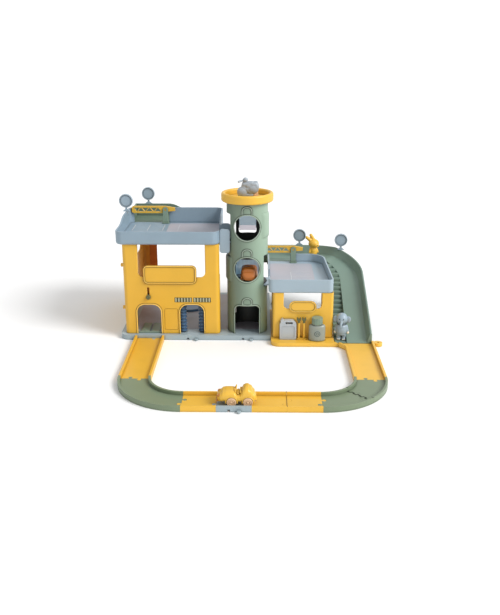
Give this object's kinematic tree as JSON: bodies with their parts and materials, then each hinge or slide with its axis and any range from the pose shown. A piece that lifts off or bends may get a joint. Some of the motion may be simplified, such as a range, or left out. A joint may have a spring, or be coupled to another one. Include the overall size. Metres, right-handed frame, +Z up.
{
  "type": "toy parking garage",
  "caption": "Toy parking garage: two decked buildings, a tower with a hand-moved lift, a winding ramp with stairs and a loop of jigsaw track.",
  "frame": {"origin": "on the axis of the lift tower, at the underside of the base plate (table level)", "axes": "+X right as seen from the front, +Y away from the viewer (towards the chute at the back), +Z up"},
  "size_m": [0.7865, 0.889, 0.4703],
  "materials": {
    "yellow_plastic": "satin moulded plastic",
    "blue_grey_plastic": "satin moulded plastic",
    "green_plastic": "satin moulded plastic",
    "navy_plastic": "satin moulded plastic",
    "orange_plastic": "satin moulded plastic",
    "beige_plastic": "satin moulded plastic",
    "dark_grey_plastic": "satin moulded plastic"
  },
  "bodies": {
    "garage": {"barrier_post_lower": "green_plastic", "barrier_post_upper": "green_plastic", "base_plate": "blue_grey_plastic", "chute_columns": "green_plastic", "curved_ramp": "green_plastic", "deck_bridge": "blue_grey_plastic", "elephant_figure": "blue_grey_plastic", "facade_left": "yellow_plastic", "facade_right": "yellow_plastic", "jerrycan": "blue_grey_plastic", "lower_deck": "blue_grey_plastic", "oil_can": "blue_grey_plastic", "oil_can_cap": "green_plastic", "rabbit_figure": "yellow_plastic", "rear_column": "yellow_plastic", "right_base": "yellow_plastic", "round_sign_1": "blue_grey_plastic", "round_sign_2": "blue_grey_plastic", "round_sign_3": "blue_grey_plastic", "round_sign_4": "blue_grey_plastic", "scooter_body": "blue_grey_plastic", "side_wall_left": "yellow_plastic", "side_walls_right": "yellow_plastic", "sign_board_left": "yellow_plastic", "tool_rack": "green_plastic", "tower_crown": "yellow_plastic", "tower_front": "green_plastic", "tower_rear": "green_plastic", "tower_shutters": "blue_grey_plastic", "track_front_1": "yellow_plastic", "track_front_3": "yellow_plastic", "track_front_4": "yellow_plastic", "track_front_crossing": "blue_grey_plastic", "track_funnel": "yellow_plastic", "track_left_bend": "green_plastic", "track_left_straight": "yellow_plastic", "track_right_bend_1": "green_plastic", "track_right_bend_2": "green_plastic", "upper_chute": "green_plastic", "upper_deck": "blue_grey_plastic", "vent_grilles": "green_plastic", "wash_gantry": "green_plastic"},
    "lift": {"lift_cab": "blue_grey_plastic", "lift_handle": "green_plastic", "lift_car_body": "orange_plastic"},
    "lift_car_front_axle": {"lift_car_front_wheels": "beige_plastic"},
    "lift_car_rear_axle": {"lift_car_rear_wheels": "beige_plastic"},
    "service_lift": {"service_lift": "green_plastic", "service_knob": "green_plastic"},
    "wash_roller_left": {"wash_roller_left": "navy_plastic"},
    "wash_roller_right": {"wash_roller_right": "navy_plastic"},
    "turntable": {"turntable": "navy_plastic"},
    "upper_barrier": {"barrier_arm_upper": "yellow_plastic"},
    "lower_barrier": {"barrier_arm_lower": "yellow_plastic"},
    "car": {"car_body": "yellow_plastic"},
    "car_front_axle": {"car_front_wheels": "beige_plastic"},
    "car_rear_axle": {"car_rear_wheels": "beige_plastic"},
    "scooter_front_axle": {"scooter_front_wheel": "dark_grey_plastic"},
    "scooter_rear_axle": {"scooter_rear_wheel": "dark_grey_plastic"}
  },
  "joints": [
    {"name": "lift_slide", "type": "slide", "parent": "garage", "child": "lift", "axis": [0, 0, 1], "range_m": [-0.1475, 0.127]},
    {"name": "lift_car_front_roll", "type": "hinge", "parent": "lift", "child": "lift_car_front_axle", "pos_m": [0.005, 0.0112, 0.1788], "axis": [1, 0, 0], "continuous": true},
    {"name": "lift_car_rear_roll", "type": "hinge", "parent": "lift", "child": "lift_car_rear_axle", "pos_m": [0.005, -0.0282, 0.1788], "axis": [1, 0, 0], "continuous": true},
    {"name": "service_lift_slide", "type": "slide", "parent": "garage", "child": "service_lift", "axis": [0, 0, 1], "range_m": [0, 0.022]},
    {"name": "wash_roller_left_spin", "type": "hinge", "parent": "garage", "child": "wash_roller_left", "pos_m": [-0.1906, -0.03, 0.06], "axis": [0, 0, 1], "continuous": true},
    {"name": "wash_roller_right_spin", "type": "hinge", "parent": "garage", "child": "wash_roller_right", "pos_m": [-0.1326, -0.03, 0.06], "axis": [0, 0, 1], "continuous": true},
    {"name": "turntable_spin", "type": "hinge", "parent": "garage", "child": "turntable", "pos_m": [-0.1915, 0.19, 0.018], "axis": [0, 0, 1], "continuous": true},
    {"name": "upper_barrier_lift", "type": "hinge", "parent": "garage", "child": "upper_barrier", "pos_m": [-0.26, 0.2032, 0.334], "axis": [0, 1, 0], "range_deg": [0, 80]},
    {"name": "lower_barrier_lift", "type": "hinge", "parent": "garage", "child": "lower_barrier", "pos_m": [0.143, 0.2032, 0.207], "axis": [0, 1, 0], "range_deg": [0, 80]},
    {"name": "car_roll", "type": "slide", "parent": "garage", "child": "car", "axis": [1, 0, 0], "range_m": [-0.08, 0.15]},
    {"name": "car_front_wheels_roll", "type": "hinge", "parent": "car", "child": "car_front_axle", "pos_m": [-0.0302, -0.4945, 0.0178], "axis": [0, 1, 0], "range_deg": [-400, 750]},
    {"name": "car_rear_wheels_roll", "type": "hinge", "parent": "car", "child": "car_rear_axle", "pos_m": [0.0092, -0.4945, 0.0178], "axis": [0, 1, 0], "range_deg": [-400, 750]},
    {"name": "scooter_front_wheel_spin", "type": "hinge", "parent": "garage", "child": "scooter_front_axle", "pos_m": [-0.015, 0, 0.4208], "axis": [0, 1, 0], "continuous": true},
    {"name": "scooter_rear_wheel_spin", "type": "hinge", "parent": "garage", "child": "scooter_rear_axle", "pos_m": [0.022, 0, 0.4208], "axis": [0, 1, 0], "continuous": true}
  ],
  "couplings": [
    {"joint": "car_front_wheels_roll", "follows": "car_roll", "rad_per_m": 86.957},
    {"joint": "car_rear_wheels_roll", "follows": "car_roll", "rad_per_m": 86.957}
  ]
}
